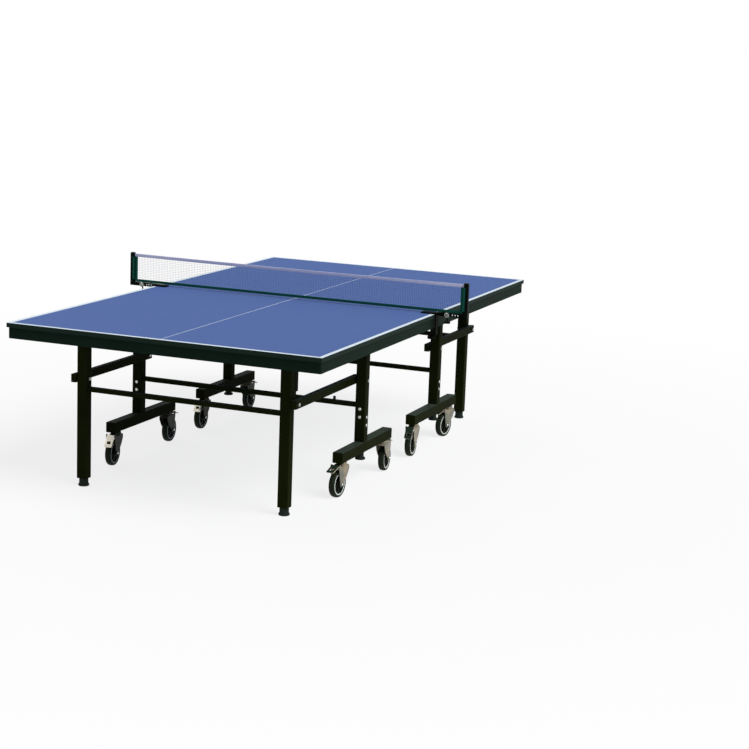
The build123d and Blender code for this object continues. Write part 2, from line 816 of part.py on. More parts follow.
def net_clamp(nut_out):
    """C clamp on the +Y edge and the arm that carries the net post, with its height knob."""
    back_y = edge_y + clamp_arm_gap
    half = net_post_deep / 2
    arm_low = clamp_arm_z
    arm_back = -net_band_thick / 2 - clamp_net_gap
    arm = block(-half, arm_back, back_y, net_end_y, arm_low, arm_low + clamp_arm_high)
    pad = block(clamp_front_x, clamp_back_x, edge_y - clamp_pad_long, back_y + clamp_plate_thick,
                table_height, table_height + clamp_pad_thick)
    low = apron_low_z - clamp_jaw_drop
    back = block(clamp_front_x, clamp_back_x, back_y, back_y + clamp_plate_thick, low, table_height)
    jaw = block(clamp_front_x, clamp_back_x, edge_y - clamp_jaw_long, back_y + clamp_plate_thick,
                low, low + clamp_jaw_thick)
    jaw -= rod_z(clamp_screw_x(), edge_y - clamp_screw_inset, low - 1, low + clamp_jaw_thick + 1,
                 clamp_screw_r + fit_gap)
    clamp = arm + pad + back + jaw
    stem_y = edge_y + nut_out
    stem_x = (arm_back - half) / 2
    clamp += rod_z(stem_x, stem_y, arm_low - under_stem_length, arm_low, under_stem_r)
    knob_low = arm_low - under_stem_length - under_knob_thick
    return clamp + rod_z(stem_x, stem_y, knob_low, knob_low + under_knob_thick, under_knob_r)


def clamp_screw_x():
    return (clamp_front_x + clamp_back_x) / 2


def clamp_screw():
    """Screw with a tip pad against the apron and a knob below."""
    x = clamp_screw_x()
    y = edge_y - clamp_screw_inset
    low = apron_low_z - clamp_screw_length
    screw_rod = rod_z(x, y, low, apron_low_z, clamp_screw_r)
    tip = rod_z(x, y, apron_low_z - clamp_tip_thick, apron_low_z, clamp_tip_r)
    knob = rod_z(x, y, low, low + clamp_knob_thick, clamp_knob_r)
    knob = fillet(knob.edges(), clamp_knob_thick * 0.2)
    return screw_rod + tip + knob


def net_screws():
    """Knurled nut and three small screws on each arm's near face, in the same order on both."""
    face_x = -net_post_deep / 2
    z = clamp_arm_z + clamp_arm_high / 2
    found = []
    for nut_y in (edge_y + left_nut_out, -edge_y - right_nut_out):
        found.append(rod_x(face_x - nut_thick, face_x, nut_y, z, nut_r))
        for step in range(3):
            y = nut_y - arm_screw_gap - step * arm_screw_pitch
            found.append(rod_x(face_x - arm_screw_thick, face_x, y, z, arm_screw_r))
    return found


# ---------------------------------------------------------------- write every node

def across(shapes):
    """Each piece of a list with its twin across the table."""
    found = []
    for shape in shapes:
        found += both_sides(shape)
    return found


def build_half():
    save_half("top_board", top_board())
    save_half("end_rail", end_rail())
    save_half("side_rails", *both_sides(side_rail()))
    save_half("net_rail", net_rail())
    save_half("brackets", *pivot_brackets(), *angle_group([angle_bracket()]), latch_bracket())
    save_half("board_screws", *pivot_bracket_screws(), *angle_group(angle_screws()), *latch_screws())
    save_half("fold_latch", fold_latch())
    save_half("post_frame", post_frame())
    save_half("wheel_beams", *both_sides(wheel_beam()))
    save_half("frame_bolts", *across(post_bolts()))
    save_half("leg_frame", leg_frame())
    save_half("leg_feet", *both_sides(leg_foot()))
    save_half("leg_bolts", *across(leg_bolts()))
    save_half("fold_links", *both_sides(fold_link()))


def build_support_feet():
    """One under every stand but the near left one."""
    left_foot, right_foot = both_sides(support_foot())
    save("far_support_feet", left_foot, right_foot)
    save("near_support_feet", Rot(0, 0, 180) * left_foot)


def build_casters():
    fork = caster_fork()
    axle = caster_axle()
    wheel = caster_wheel()
    up = brake_pedal(pedal_up_tilt)
    pressed = brake_pedal(pedal_up_tilt + pedal_travel)
    for name in parked:
        place = caster_place(name)
        save(f"{name}_fork", place * fork, place * axle)
        save(f"{name}_wheel", place * wheel)
        save(f"{name}_pedal", place * (pressed if name in braked else up))


def build_net():
    save("net", net_sheet())
    save("net_posts", *both_sides(net_post()))
    save("net_clamps", net_clamp(left_nut_out), mirror(net_clamp(right_nut_out), about=Plane.XZ))
    save("net_screws", *net_screws())
    left, right = both_sides(clamp_screw())
    save("left_clamp_screw", left)
    save("right_clamp_screw", right)


build_half()
build_support_feet()
build_casters()
build_net()
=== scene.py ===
"""Ping pong table in two folding halves, with a clamp-on net: finishes, net, wheels and small parts."""

import json
import math

import bmesh
import bpy
from mathutils import Matrix, Vector, noise


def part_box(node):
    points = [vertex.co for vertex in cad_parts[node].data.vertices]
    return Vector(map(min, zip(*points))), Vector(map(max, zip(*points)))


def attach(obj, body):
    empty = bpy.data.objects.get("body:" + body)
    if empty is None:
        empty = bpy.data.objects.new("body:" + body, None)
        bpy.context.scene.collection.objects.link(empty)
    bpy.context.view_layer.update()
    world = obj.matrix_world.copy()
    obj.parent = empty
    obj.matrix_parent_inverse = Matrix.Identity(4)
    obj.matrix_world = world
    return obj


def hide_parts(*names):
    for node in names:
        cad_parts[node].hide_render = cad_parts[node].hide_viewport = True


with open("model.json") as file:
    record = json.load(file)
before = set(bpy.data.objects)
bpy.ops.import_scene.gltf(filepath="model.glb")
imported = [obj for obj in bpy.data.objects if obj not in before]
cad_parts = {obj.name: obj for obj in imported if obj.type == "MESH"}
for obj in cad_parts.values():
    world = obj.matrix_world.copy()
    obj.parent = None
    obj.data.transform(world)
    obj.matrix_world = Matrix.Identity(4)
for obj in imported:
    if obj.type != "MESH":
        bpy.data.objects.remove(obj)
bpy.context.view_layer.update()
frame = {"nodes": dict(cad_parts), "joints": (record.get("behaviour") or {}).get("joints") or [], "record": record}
slot_of = {row["node"]: row["material_slot"] for row in frame["record"]["subparts"]}
HALVES = (("far", 1), ("near", -1))
SIDES = (("left", 1), ("right", -1))


# ---------------------------------------------------------------- shader maths

class Value:
    """A socket that takes the usual operators."""

    def __init__(self, paint, socket):
        self.paint = paint
        self.socket = socket

    def maths(self, operation, *numbers):
        return self.paint.node("ShaderNodeMath", {"operation": operation}, dict(enumerate(numbers)))

    def __add__(self, other):
        return self.maths("ADD", self, other)

    def __sub__(self, other):
        return self.maths("SUBTRACT", self, other)

    def __mul__(self, other):
        return self.maths("MULTIPLY", self, other)

    def __truediv__(self, other):
        return self.maths("DIVIDE", self, other)

    def __gt__(self, other):
        return self.maths("GREATER_THAN", self, other)

    def __lt__(self, other):
        return self.maths("LESS_THAN", self, other)

    __radd__ = __add__

    def root(self):
        return self.maths("SQRT", self)

    def sine(self):
        return self.maths("SINE", self)

    def clipped(self):
        return self.paint.node("ShaderNodeClamp", {}, {"Value": self})


class Paint:
    """A material and its nodes."""

    def __init__(self, name):
        self.material = bpy.data.materials.new(name)
        self.material.use_nodes = True
        self.tree = self.material.node_tree
        self.shader = self.tree.nodes["Principled BSDF"]
        self.place = self.node("ShaderNodeTexCoord", {}, {}, "Object")

    def feed(self, socket, value):
        """Link a value to a socket, or set a plain number or colour on it."""
        if isinstance(value, Value):
            self.tree.links.new(value.socket, socket)
        else:
            socket.default_value = value

    def node(self, kind, settings, inputs, output=0):
        """A new node with its settings and inputs; gives the value of one output."""
        made = self.tree.nodes.new(kind)
        for name, value in settings.items():
            setattr(made, name, value)
        for name, value in inputs.items():
            self.feed(made.inputs[name], value)
        return Value(self, made.outputs[output])

    def blend(self, amount, low, high):
        """Colour between low and high by amount."""
        made = self.tree.nodes.new("ShaderNodeMix")
        made.data_type = "RGBA"
        for socket, value in ((made.inputs[0], amount), (made.inputs[6], low), (made.inputs[7], high)):
            self.feed(socket, value)
        return Value(self, made.outputs[2])

    def noise(self, scale, detail=2.0, roughness=0.5):
        """Noise over the object's own place; scale is in cells a metre."""
        wanted = {"Vector": self.place, "Scale": scale, "Detail": detail, "Roughness": roughness}
        return self.node("ShaderNodeTexNoise", {}, wanted)

    def axis(self, letter):
        """The place along one axis, in metres."""
        return self.node("ShaderNodeSeparateXYZ", {}, {0: self.place}, letter)

    def facing(self, letter):
        """The surface's own direction, which turns with the piece."""
        normal = self.node("ShaderNodeTexCoord", {}, {}, "Normal")
        return self.node("ShaderNodeSeparateXYZ", {}, {0: normal}, letter)

    def bump(self, height, depth, strength):
        """Relief from a pattern; depth is in metres."""
        wanted = {"Height": height, "Distance": depth, "Strength": strength}
        self.feed(self.shader.inputs["Normal"], self.node("ShaderNodeBump", {}, wanted))

    def set(self, **sockets):
        """Feed the shader's sockets by name; gives the material."""
        for name, value in sockets.items():
            self.feed(self.shader.inputs[name.replace("_", " ")], value)
        return self.material


def colour(red, green, blue):
    """Linear colour from the 0 to 255 values seen on a screen."""
    def linear(value):
        value /= 255
        return value / 12.92 if value <= 0.04045 else ((value + 0.055) / 1.055) ** 2.4
    return (linear(red), linear(green), linear(blue), 1.0)


# ---------------------------------------------------------------- finishes

# Pairs of colours are the darker and the lighter tone that a pattern moves between.
BOARD_TOP = 0.760
BOARD_UNDER = 0.740
TOP_REACH = 0.0004  # how far the blue of the upper face comes down over the edge
UNDER_REACH = 0.00005  # and that of the lower face up
TOP_BLUES = (colour(66, 96, 152), colour(77, 100, 157))
GRAIN_BLUES = (colour(64, 86, 140), colour(84, 106, 164))
GRAIN_SHARE = 0.22
UNDER_BLUES = (colour(26, 76, 128), colour(30, 84, 138))
EDGE_GREENS = (colour(16, 29, 23), colour(22, 38, 30))
LINE_WHITES = (colour(204, 218, 228), colour(222, 232, 240))
PEDAL_RIMS = (colour(186, 170, 140), colour(232, 222, 200))
# pale tone painted on the upper faces of the coats: a painted highlight of the light from above
TOP_SHEEN_TONE = colour(100, 114, 108)
STRAW_PATCH = colour(168, 146, 112)


def board_paint():
    """Matt blue on both faces over a fine grain, dark green round the edge."""
    paint = Paint("board_paint")
    clouds = paint.noise(14, 4.0, 0.6)
    grain = paint.noise(900, 2.0, 0.6)
    height = paint.axis("Z")
    upper = height > BOARD_TOP - TOP_REACH
    lower = height < BOARD_UNDER + UNDER_REACH
    blue = paint.blend(GRAIN_SHARE, paint.blend(clouds, *TOP_BLUES), paint.blend(grain, *GRAIN_BLUES))
    body = paint.blend(upper, paint.blend(clouds, *EDGE_GREENS), blue)
    tone = paint.blend(lower, body, paint.blend(clouds, *UNDER_BLUES))
    paint.bump(grain, 0.00008, 0.4)
    return paint.set(Base_Color=tone, Roughness=0.62 + grain * 0.1 + clouds * 0.06,
                     Specular_IOR_Level=0.08)


def line_paint():
    """White line enamel with a trace of handling."""
    paint = Paint("line_paint")
    marks = paint.noise(14, 5.0, 0.6)
    grain = paint.noise(1200, 2.0)
    tone = paint.blend(marks, *LINE_WHITES)
    paint.bump(grain, 0.00004, 0.4)
    return paint.set(Base_Color=tone, Roughness=0.5 + marks * 0.12, Specular_IOR_Level=0.1)


def powder_coat(name, dark, light, gloss, top_sheen, shine):
    """Baked coat: slight mottling, orange peel, and a paler tone on upper faces that is a painted highlight of the
    light from above.
    """
    paint = Paint(name)
    mottle = paint.noise(9, 4.0, 0.6)
    peel = paint.noise(420, 2.0, 0.5)
    speck = paint.noise(1600, 1.0, 0.5)
    tone = paint.blend(mottle, dark, light)
    # upper faces painted paler, and made rougher: a painted highlight of the light from above
    dust_and_sheen = (paint.facing("Z") * (mottle * 0.5 + 0.3)).clipped()
    tone = paint.blend(dust_and_sheen * top_sheen, tone, TOP_SHEEN_TONE)
    tone = paint.blend((speck > 0.72) * 0.25, tone, light)
    paint.bump(peel, 0.00012, 0.35)
    rough = gloss + mottle * 0.12 + dust_and_sheen * 0.1
    return paint.set(Base_Color=tone, Roughness=rough, Specular_IOR_Level=shine)


def plated(name, dark, light, rough, warm=0.0, metal=1.0, shine=0.5):
    """Plated steel: cloudy zinc with fine rub marks and straw-coloured patches."""
    paint = Paint(name)
    clouds = paint.noise(34, 4.0, 0.6)
    rubbed = paint.noise(260, 3.0, 0.6)
    patches = ((paint.noise(16, 2.0, 0.5) - 0.47) * 6).clipped()
    tone = paint.blend(clouds, dark, light)
    tone = paint.blend(patches * warm, tone, STRAW_PATCH)
    paint.bump(rubbed, 0.00005, 0.5)
    worn = rough + clouds * 0.14 + rubbed * 0.08
    return paint.set(Base_Color=tone, Metallic=metal, Roughness=worn, Specular_IOR_Level=shine)


def pedal_plate(name, dark, light, metal=0.0):
    """Foot plate: pale plating on the rims and underneath, and the given tones on its upper face: painted shade on
    the usual pedals, a painted highlight on the two pale ones.
    """
    paint = Paint(name)
    clouds = paint.noise(60, 4.0, 0.6)
    grain = paint.noise(500, 3.0, 0.6)
    # upward faces take the given tones, painted light that differs by pedal; the other faces the pale plating
    face = paint.facing("Z") > 0.45
    tone = paint.blend(face, paint.blend(clouds, *PEDAL_RIMS), paint.blend(clouds, dark, light))
    paint.bump(grain, 0.00005, 0.4)
    return paint.set(Base_Color=tone, Metallic=metal, Roughness=0.32 + clouds * 0.15,
                     Specular_IOR_Level=0.3)


def rubber(name, dark, light, rough, shine=0.08):
    """Moulded rubber or nylon, greyed by grime where it is touched."""
    paint = Paint(name)
    dust_and_sheen = paint.noise(60, 5.0, 0.65)
    pores = paint.noise(1400, 2.0)
    tone = paint.blend(dust_and_sheen, dark, light)
    paint.bump(pores, 0.0001, 0.5)
    return paint.set(Base_Color=tone, Roughness=rough + dust_and_sheen * 0.15, Specular_IOR_Level=shine)


def woven(name, dark, light, count, cover=1.0):
    """Woven tape: crossed ribs with slow changes of tone; cover below 1 lets light through."""
    paint = Paint(name)
    weft = (paint.axis("Y") * count).sine()
    warp = (paint.axis("Z") * count).sine()
    weave = weft * warp * 0.5 + 0.5
    soil = paint.noise(22, 4.0, 0.6)
    tone = paint.blend(soil * 0.6 + weave * 0.3, dark, light)
    paint.bump(weave, 0.0002, 0.6)
    return paint.set(Base_Color=tone, Roughness=0.75 + soil * 0.15, Alpha=cover, Specular_IOR_Level=0.1)


FINISH = {
    "playing_board": board_paint(),
    "apron": powder_coat("apron_coat", colour(13, 26, 20), colour(21, 36, 29), 0.42, 0.3, 0.012),
    "frame": powder_coat("frame_coat", colour(15, 19, 6), colour(29, 34, 11), 0.34, 0.42, 0.004),
    "bracket": powder_coat("bracket_coat", colour(6, 8, 6), colour(12, 14, 11), 0.45, 0.15, 0.01),
    "brass_screw": plated("brass_plate", colour(150, 122, 64), colour(196, 170, 104), 0.3),
    "bolt": plated("zinc_plate", colour(150, 158, 154), colour(206, 212, 206), 0.28),
    "foot_rubber": rubber("foot_rubber", colour(20, 26, 22), colour(34, 44, 38), 0.55),
    "caster_fork": plated("pressed_zinc", colour(48, 52, 44), colour(138, 138, 124), 0.26,
                          warm=0.5, metal=0.12, shine=0.3),
    "caster_wheel": rubber("tyre_rubber", colour(17, 23, 13), colour(34, 42, 28), 0.5),
    # the dark greens of the upper face are a painted reflection of the beam's dark underside above it
    "caster_pedal": pedal_plate("pedal_plate", colour(20, 32, 22), colour(40, 54, 38)),
    # half see-through, which makes up for threads thicker than the look wants (see THREAD)
    "net_cloth": woven("net_thread", colour(44, 62, 108), colour(58, 76, 126), 3200, cover=0.5),
    "net_post": powder_coat("post_enamel", colour(4, 9, 7), colour(9, 17, 13), 0.3, 0.2, 0.03),
}
LINES = line_paint()
TAPE = woven("net_tape", colour(178, 182, 216), colour(206, 208, 234), 2600)
BAND = woven("net_band", colour(10, 62, 52), colour(20, 92, 80), 2600)
KNURLED = plated("knurled_zinc", colour(84, 90, 84), colour(164, 170, 164), 0.24)
RING = rubber("wheel_ring", colour(186, 194, 188), colour(214, 220, 214), 0.5)
HUB = rubber("wheel_hub", colour(7, 10, 6), colour(15, 19, 12), 0.4, 0.03)


def soften(node, width):
    """Round the sharp edges of a welded copy of the solid's faces."""
    weld = node.modifiers.new("merge", "WELD")
    weld.merge_threshold = 0.00002
    edge = node.modifiers.new("edges", "BEVEL")
    edge.width = width
    edge.segments = 2
    edge.limit_method = "ANGLE"
    edge.angle_limit = math.radians(50)
    edge.use_clamp_overlap = True


EDGE_WIDTH = {"apron": 0.0012, "bracket": 0.0005, "playing_board": 0.0015, "net_post": 0.0012,
              "caster_fork": 0.0008, "caster_pedal": 0.0006, "frame": 0.0006, "bolt": 0.0005,
              "foot_rubber": 0.0006}

# A darker copy of the fork zinc for the left casters: painted shade, for those forks stand in the table's shadow.
SHADED_ZINC = plated("shaded_zinc", colour(18, 26, 20), colour(60, 70, 60), 0.34,
                   warm=0.2, metal=0.06, shine=0.06)
# Two pedals get a pale copy of the pedal finish: a painted highlight of the light those pedals catch.
LIT_PEDALS = ("near_left_outer_pedal", "far_left_inner_pedal")
LIT_PEDAL = pedal_plate("lit_pedal", colour(222, 213, 194), colour(244, 238, 224), 1.0)


def finish_of(name):
    """The finish of a solid: two pedals take a pale copy of the pedal finish, a painted highlight, and the forks
    of the left side a darker copy of the zinc, painted shade.
    """
    if name in LIT_PEDALS:
        return LIT_PEDAL
    if "_left_" in name and name.endswith("_fork"):
        return SHADED_ZINC
    return FINISH[slot_of[name]]


for name, node in frame["nodes"].items():
    node.data.materials.clear()
    node.data.materials.append(finish_of(name))


# ---------------------------------------------------------------- making pieces

def piece(name, shape, body, slot, *materials):
    """A finished piece that rides on a body."""
    mesh = bpy.data.meshes.new(name)
    shape.to_mesh(mesh)
    shape.free()
    made = bpy.data.objects.new(name, mesh)
    bpy.context.scene.collection.objects.link(made)
    for material in materials:
        mesh.materials.append(material)
    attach(made, body)
    return made


def block(shape, low, high):
    """Box between two corners; gives its vertices."""
    low, high = Vector(low), Vector(high)
    middle = Matrix.Translation((low + high) / 2)
    size = Matrix.Diagonal((*(high - low), 1))
    return bmesh.ops.create_cube(shape, size=1, matrix=middle @ size)["verts"]


def edges_along(edges, axis, least):
    """Those of the edges that run further than least along an axis, each once."""
    return [e for e in dict.fromkeys(edges)
            if abs(e.verts[0].co[axis] - e.verts[1].co[axis]) > least]


def round_edges(shape, edges, width, segments):
    """Round the edges to a radius of about width."""
    bmesh.ops.bevel(shape, geom=edges, offset=width, offset_type="OFFSET", segments=segments,
                    profile=0.5, affect="EDGES", clamp_overlap=True, material=-1)


def smooth(shape, angle=35):
    """Smooth shading that keeps edges sharper than the angle."""
    for face in shape.faces:
        face.smooth = True
    for edge in shape.edges:
        edge.smooth = len(edge.link_faces) == 2 and edge.calc_face_angle(0) < math.radians(angle)


def turned(shape, profile, steps, material, closed=True):
    """Spin a profile of (radius, along) points about Y."""
    corners = [shape.verts.new((radius, along, 0)) for radius, along in profile]
    following = corners[1:] + corners[:1] if closed else corners[1:]
    edges = [shape.edges.new(pair) for pair in zip(corners, following)]
    before = set(shape.faces)
    bmesh.ops.spin(shape, geom=corners + edges, cent=(0, 0, 0), axis=(0, 1, 0), angle=math.tau,
                   steps=steps, use_merge=True)
    for face in shape.faces:
        if face not in before:
            face.material_index = material


# ---------------------------------------------------------------- court lines

LINE_THICK = 0.00015
EDGE_LINE = 0.020
CENTRE_LINE = 0.003
LINE_MARGIN = 0.0006  # between the lines and the board's rounded edge
LINE_CORNER = 0.006


def court_lines(half, way):
    """Edge lines round three sides and the thin centre line."""
    low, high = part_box(f"{half}_top_board")
    inner, outer = sorted((abs(low[0]), abs(high[0])))
    edge = high[1] - LINE_MARGIN
    end = outer - LINE_MARGIN
    start = inner + LINE_MARGIN
    shape = bmesh.new()
    ring = ((end - EDGE_LINE, end, -edge, edge),
            (start, end - EDGE_LINE, edge - EDGE_LINE, edge),
            (start, end - EDGE_LINE, -edge, EDGE_LINE - edge),
            (start, end - EDGE_LINE, -CENTRE_LINE / 2, CENTRE_LINE / 2))
    for x0, x1, y0, y1 in ring:
        block(shape, (x0, y0, high[2]), (x1, y1, high[2] + LINE_THICK))
    corners = [e for e in shape.edges
               if all(abs(v.co.x - end) < 1e-6 and abs(abs(v.co.y) - edge) < 1e-6 for v in e.verts)]
    round_edges(shape, corners, LINE_CORNER, 5)
    bmesh.ops.rotate(shape, verts=shape.verts, cent=(0, 0, 0),
                     matrix=Matrix.Rotation(0 if way > 0 else math.pi, 3, "Z"))
    piece(f"{half}_court_lines", shape, f"{half}_top", "playing_board", LINES)


for half, way in HALVES:
    court_lines(half, way)


# ---------------------------------------------------------------- net

THREAD = 0.00063
MESH_PITCH = 0.009
TAPE_HIGH = 0.016
TAPE_HALF = 0.0016  # half thicknesses
BAND_HIGH = 0.014
BAND_HALF = 0.0013
HEM_WIDE = 0.016
HEM_HALF = 0.0012
HEM_GAP = 0.0002  # between a hem's end and the post
TUCK = 0.004  # how far the threads run into the tape, the band and the hems
SLEEVE = 0.0006
SLEEVE_START = 0.002  # how far a sleeve starts inside the net's end
SLEEVE_WRAP = 0.009
SAG = 0.003
RIPPLE = 0.0007
RIPPLES = 21  # waves' scale along the net, a metre
LENGTH_CUTS = 96
HEIGHT_CUTS = 4


def net_shift(point, reach, low, top):
    """Sag towards the middle and the shallow ripples of a stretched net."""
    span = 1 - (point.y / reach) ** 2
    height = (point.z - low) / (top - low)
    wave = noise.noise(Vector((point.y * RIPPLES, 0, 3.1))) * math.sin(math.pi * min(max(height, 0), 1))
    return Vector((wave * RIPPLE * span, 0, -SAG * span * max(height, 0)))


def make_net():
    """The net as single threads, with its tape, lower band and end hems."""
    low_corner, high_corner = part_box("net")
    reach = high_corner[1]
    half_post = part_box("net_posts")[1][0]
    low, top = low_corner[2], high_corner[2]
    inner = reach - HEM_WIDE
    base = low + BAND_HIGH
    ceiling = top - TAPE_HIGH
    cells_across = round(2 * inner / MESH_PITCH)
    cells_up = round((ceiling - base) / MESH_PITCH)
    thin = THREAD / 2

    threads = bmesh.new()
    for step in range(1, cells_across):
        y = -inner + 2 * inner * step / cells_across
        block(threads, (-thin, y - thin, base - TUCK), (thin, y + thin, ceiling + TUCK))
    bmesh.ops.subdivide_edges(threads, edges=edges_along(threads.edges, 2, 0.01), cuts=HEIGHT_CUTS)
    for step in range(1, cells_up):
        z = base + (ceiling - base) * step / cells_up
        made = block(threads, (-thin, -inner - TUCK, z - thin), (thin, inner + TUCK, z + thin))
        long = edges_along([e for v in made for e in v.link_edges], 1, 1)
        bmesh.ops.subdivide_edges(threads, edges=long, cuts=LENGTH_CUTS)
    for vert in threads.verts:
        vert.co += net_shift(vert.co, reach, low, top)
    cloth = piece("net_mesh", threads, "near_top", "net_cloth", FINISH["net_cloth"])
    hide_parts("net")

    for name, z0, z1, half, material in (("net_tape", ceiling, top, TAPE_HALF, TAPE),
                                         ("net_lower_band", low, base, BAND_HALF, BAND)):
        shape = bmesh.new()
        block(shape, (-half, -reach, z0), (half, reach, z1))
        round_edges(shape, edges_along(shape.edges, 1, 1), half * 0.95, 3)
        bmesh.ops.subdivide_edges(shape, edges=edges_along(shape.edges, 1, 1), cuts=LENGTH_CUTS)
        for vert in shape.verts:
            vert.co += net_shift(vert.co, reach, low, top)
        smooth(shape)
        piece(name, shape, "near_top", "net_cloth", material)
    for side, way in SIDES:
        shape = bmesh.new()
        ends = sorted((way * inner, way * (reach - HEM_GAP)))
        block(shape, (-HEM_HALF, ends[0], base), (HEM_HALF, ends[1], ceiling))
        round_edges(shape, edges_along(shape.edges, 2, 0.01), 0.001, 2)
        for face_x in (-half_post - SLEEVE, half_post):
            ends = sorted((way * (reach - SLEEVE_START), way * (reach + SLEEVE_WRAP)))
            block(shape, (face_x, ends[0], base), (face_x + SLEEVE, ends[1], ceiling))
        smooth(shape)
        piece(f"net_hem_{side}", shape, "near_top", "net_cloth", BAND)


make_net()


# ---------------------------------------------------------------- nuts and screws of the net arms

LEFT_NUT_OUT = 0.080  # beyond the board's side edge
RIGHT_NUT_OUT = 0.053
NUT_RIDGES = 40
RIDGE_DEEP = 0.0007
NUT_THICK_SHARE = 0.8  # of the depth that the solid's screws have; the stud's end takes the rest
NUT_RIM = 0.0035
NUT_DISH = 0.0012
DISH_WIDE = 0.004
ARM_SCREWS = 3
ARM_SCREW_R = 0.004
ARM_SCREW_DOME = 0.7
ARM_SCREW_GAP = 0.025
ARM_SCREW_PITCH = 0.014


def push(shape, faces, along_x):
    bmesh.ops.translate(shape, verts=list({v for f in faces for v in f.verts}), vec=(along_x, 0, 0))


def knurled_nut(shape, middle, radius, depth):
    """Ridged nut with a dished face and the stud's end in it."""
    turn = Matrix.Rotation(math.pi / 2, 4, "Y")
    rim = bmesh.ops.create_circle(shape, cap_ends=True, segments=NUT_RIDGES * 2, radius=radius,
                                  matrix=Matrix.Translation(middle) @ turn)["verts"]
    for vert in rim[1::2]:
        vert.co -= (vert.co - middle).normalized() * RIDGE_DEEP
    cap = [f for f in shape.faces if all(v in rim for v in f.verts)]
    body = bmesh.ops.extrude_face_region(shape, geom=cap)["geom"]
    front = [f for f in body if isinstance(f, bmesh.types.BMFace)]
    push(shape, front, -depth * NUT_THICK_SHARE)
    bmesh.ops.inset_region(shape, faces=front, thickness=NUT_RIM, depth=0.0)
    push(shape, front, NUT_DISH)
    bmesh.ops.inset_region(shape, faces=front, thickness=DISH_WIDE, depth=0.0)
    push(shape, front, -depth * (1 - NUT_THICK_SHARE) - NUT_DISH)


def arm_screw(shape, place, face):
    """Domed screw head on the outer side of the arm's face."""
    dome = Matrix.Diagonal((ARM_SCREW_DOME, 1, 1, 1))
    head = bmesh.ops.create_uvsphere(shape, u_segments=20, v_segments=12, radius=ARM_SCREW_R,
                                     matrix=Matrix.Translation(place) @ dome)["verts"]
    keep = [v for v in head if v.co.x <= face + 1e-6]
    for side in {f for v in keep for f in v.link_faces}:
        side.material_index = 1
    bmesh.ops.delete(shape, geom=[v for v in head if v not in keep], context="VERTS")


def net_fasteners():
    """Knurled nuts and small domed screws on the net arms."""
    low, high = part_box("net_screws")
    face = high[0]
    centre_z = (low[2] + high[2]) / 2
    edge_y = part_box("far_top_board")[1][1]
    shape = bmesh.new()
    for nut_y in (edge_y + LEFT_NUT_OUT, -edge_y - RIGHT_NUT_OUT):
        knurled_nut(shape, Vector((face, nut_y, centre_z)), (high[2] - low[2]) / 2, face - low[0])
        for step in range(ARM_SCREWS):
            y = nut_y - ARM_SCREW_GAP - ARM_SCREW_PITCH * step
            arm_screw(shape, (face, y, centre_z), face)
    bmesh.ops.recalc_face_normals(shape, faces=shape.faces)
    smooth(shape, 30)
    made = piece("net_fasteners", shape, "near_top", "bolt", KNURLED, FINISH["bolt"])
    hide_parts("net_screws")


net_fasteners()


# ---------------------------------------------------------------- caster wheels

# Outlines are (radius, along the axle) points.
RING_OUT = 0.0505
RING_IN = 0.0455
TYRE_OUTLINE = ((RING_OUT, -0.0118), (0.0535, -0.0142), (0.0572, -0.0146), (0.0600, -0.0126),
                (0.0617, -0.0085), (0.0625, -0.003), (0.0625, 0.003), (0.0617, 0.0085),
                (0.0600, 0.0126), (0.0572, 0.0146), (0.0535, 0.0142), (RING_OUT, 0.0118))
RING_OUTLINE = ((RING_OUT, 0.009), (RING_OUT, 0.0128), (0.0495, 0.0134),
                (0.0465, 0.0134), (RING_IN, 0.0128), (RING_IN, 0.009))
BORE_R = 0.0041
HUB_R = 0.019
HUB_HALF = 0.018
HUB_OUTLINE = ((BORE_R, -HUB_HALF), (0.009, -HUB_HALF), (0.0105, -0.0168), (HUB_R - 0.004, -0.0155),
               (HUB_R, -0.010), (0.030, -0.0072), (0.040, -0.0078), (0.0435, -0.0112),
               (RING_IN, -0.0118))
WHEEL_STEPS = 72
RIBS = 6
RIB_FROM = 0.0175
RIB_TO = 0.0425
RIB_OUT = 0.009  # from the wheel's middle to the rib's
RIB_DEEP_HALF = 0.0035
RIB_WIDE_HALF = 0.0022
RIB_FALL = 0.0015  # how much lower the outer end of a rib is


def wheel_shape():
    """Tyre, pale ring and dished black centre with its ribs, turned about the axle."""
    shape = bmesh.new()
    turned(shape, TYRE_OUTLINE, WHEEL_STEPS, 0)
    for way in (1, -1):
        turned(shape, [(radius, way * along) for radius, along in RING_OUTLINE], WHEEL_STEPS, 1)
    other_half = [(radius, -along) for radius, along in reversed(HUB_OUTLINE)]
    turned(shape, [*HUB_OUTLINE, *other_half], WHEEL_STEPS, 2)
    for step in range(RIBS):
        turn = Matrix.Rotation(math.tau * step / RIBS, 4, "Y")
        for way in (1, -1):
            rib = block(shape, (RIB_FROM, way * RIB_OUT - RIB_DEEP_HALF, -RIB_WIDE_HALF),
                        (RIB_TO, way * RIB_OUT + RIB_DEEP_HALF, RIB_WIDE_HALF))
            for vert in rib:
                if vert.co.x > (RIB_FROM + RIB_TO) / 2:
                    vert.co.y -= way * RIB_FALL
            bmesh.ops.transform(shape, matrix=turn, verts=rib)
            for face in {f for v in rib for f in v.link_faces}:
                face.material_index = 2
    bmesh.ops.remove_doubles(shape, verts=shape.verts, dist=1e-6)
    bmesh.ops.recalc_face_normals(shape, faces=shape.faces)
    smooth(shape, 32)
    return shape


def casters():
    """Each caster's name, the middle of its wheel, and what puts a piece turned about Y on its axle."""
    for joint in frame["joints"]:
        if joint["name"].endswith("_spin"):
            name = joint["name"].removesuffix("_spin")
            low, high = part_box(f"{name}_wheel")
            centre = (Vector(low) + Vector(high)) / 2
            axis = Vector(joint["axis"]).normalized()
            turn = Vector((0, 1, 0)).rotation_difference(axis).to_matrix().to_4x4()
            yield name, centre, Matrix.Translation(centre) @ turn


